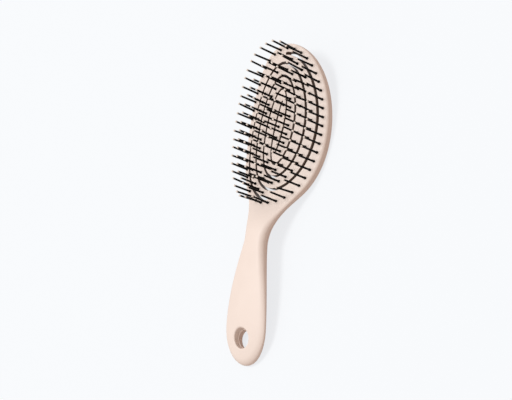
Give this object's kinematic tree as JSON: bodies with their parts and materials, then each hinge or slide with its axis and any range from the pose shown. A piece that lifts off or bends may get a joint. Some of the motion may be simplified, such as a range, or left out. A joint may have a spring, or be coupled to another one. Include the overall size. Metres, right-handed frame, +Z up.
{
  "type": "detangling hair brush",
  "caption": "Oval paddle hair brush with a springy double-spiral vented head, bead-tipped pins and an arched handle with a hanging hole.",
  "frame": {"origin": "on the surface the brush lies on, under the middle of its outline", "axes": "+Z up through the face that carries the pins, +Y from the end of the handle to the top of the head, +X across the head"},
  "size_m": [0.0806, 0.2328, 0.0394],
  "materials": {
    "body": "satin soft-touch, pale pink",
    "pins": "smooth black nylon",
    "tips": "smooth pale beige beads"
  },
  "bodies": {
    "handle_and_rim": {"handle_and_rim": "body", "pins_rim": "pins", "tips_rim": "tips"},
    "web_a_outer": {"web_a_outer": "body", "pins_a_outer": "pins", "tips_a_outer": "tips"},
    "web_a_middle": {"web_a_middle": "body", "pins_a_middle": "pins", "tips_a_middle": "tips"},
    "web_a_inner": {"web_a_inner": "body", "pins_a_inner": "pins", "tips_a_inner": "tips"},
    "web_b_outer": {"web_b_outer": "body", "pins_b_outer": "pins", "tips_b_outer": "tips"},
    "web_b_middle": {"web_b_middle": "body", "pins_b_middle": "pins", "tips_b_middle": "tips"},
    "web_b_inner": {"web_b_inner": "body", "pins_b_inner": "pins", "tips_b_inner": "tips"},
    "web_core": {"web_core": "body", "pins_core": "pins", "tips_core": "tips"}
  },
  "joints": [
    {"name": "core_press", "type": "slide", "parent": "handle_and_rim", "child": "web_core", "axis": [0, 0, -1], "range_m": [0, 0.006], "stiffness_N_per_m": 2000, "springref_m": -0.0005},
    {"name": "a_outer_bend", "type": "hinge", "parent": "handle_and_rim", "child": "web_a_outer", "pos_m": [0, 0.1056, 0.01886], "axis": [1, 0, 0], "range_deg": [0, 1.58]},
    {"name": "a_middle_bend", "type": "hinge", "parent": "web_a_outer", "child": "web_a_middle", "pos_m": [0, 0.01425, 0.01046], "axis": [1, 0, 0], "range_deg": [-3.15, 0]},
    {"name": "a_inner_bend", "type": "hinge", "parent": "web_a_middle", "child": "web_a_inner", "pos_m": [0, 0.08805, 0.01639], "axis": [1, 0, 0], "range_deg": [0, 3.15]},
    {"name": "b_outer_bend", "type": "hinge", "parent": "handle_and_rim", "child": "web_b_outer", "pos_m": [0, 0.0061, 0.01041], "axis": [1, 0, 0], "range_deg": [-1.58, 0]},
    {"name": "b_middle_bend", "type": "hinge", "parent": "web_b_outer", "child": "web_b_middle", "pos_m": [0, 0.09745, 0.01767], "axis": [1, 0, 0], "range_deg": [0, 3.15]},
    {"name": "b_inner_bend", "type": "hinge", "parent": "web_b_middle", "child": "web_b_inner", "pos_m": [0, 0.02365, 0.01081], "axis": [1, 0, 0], "range_deg": [-3.15, 0]}
  ],
  "couplings": [
    {"joint": "a_outer_bend", "follows": "core_press", "rad_per_m": 4.5424},
    {"joint": "a_middle_bend", "follows": "core_press", "rad_per_m": -9.0848},
    {"joint": "a_inner_bend", "follows": "core_press", "rad_per_m": 9.0848},
    {"joint": "b_outer_bend", "follows": "core_press", "rad_per_m": -4.5424},
    {"joint": "b_middle_bend", "follows": "core_press", "rad_per_m": 9.0848},
    {"joint": "b_inner_bend", "follows": "core_press", "rad_per_m": -9.0848}
  ]
}
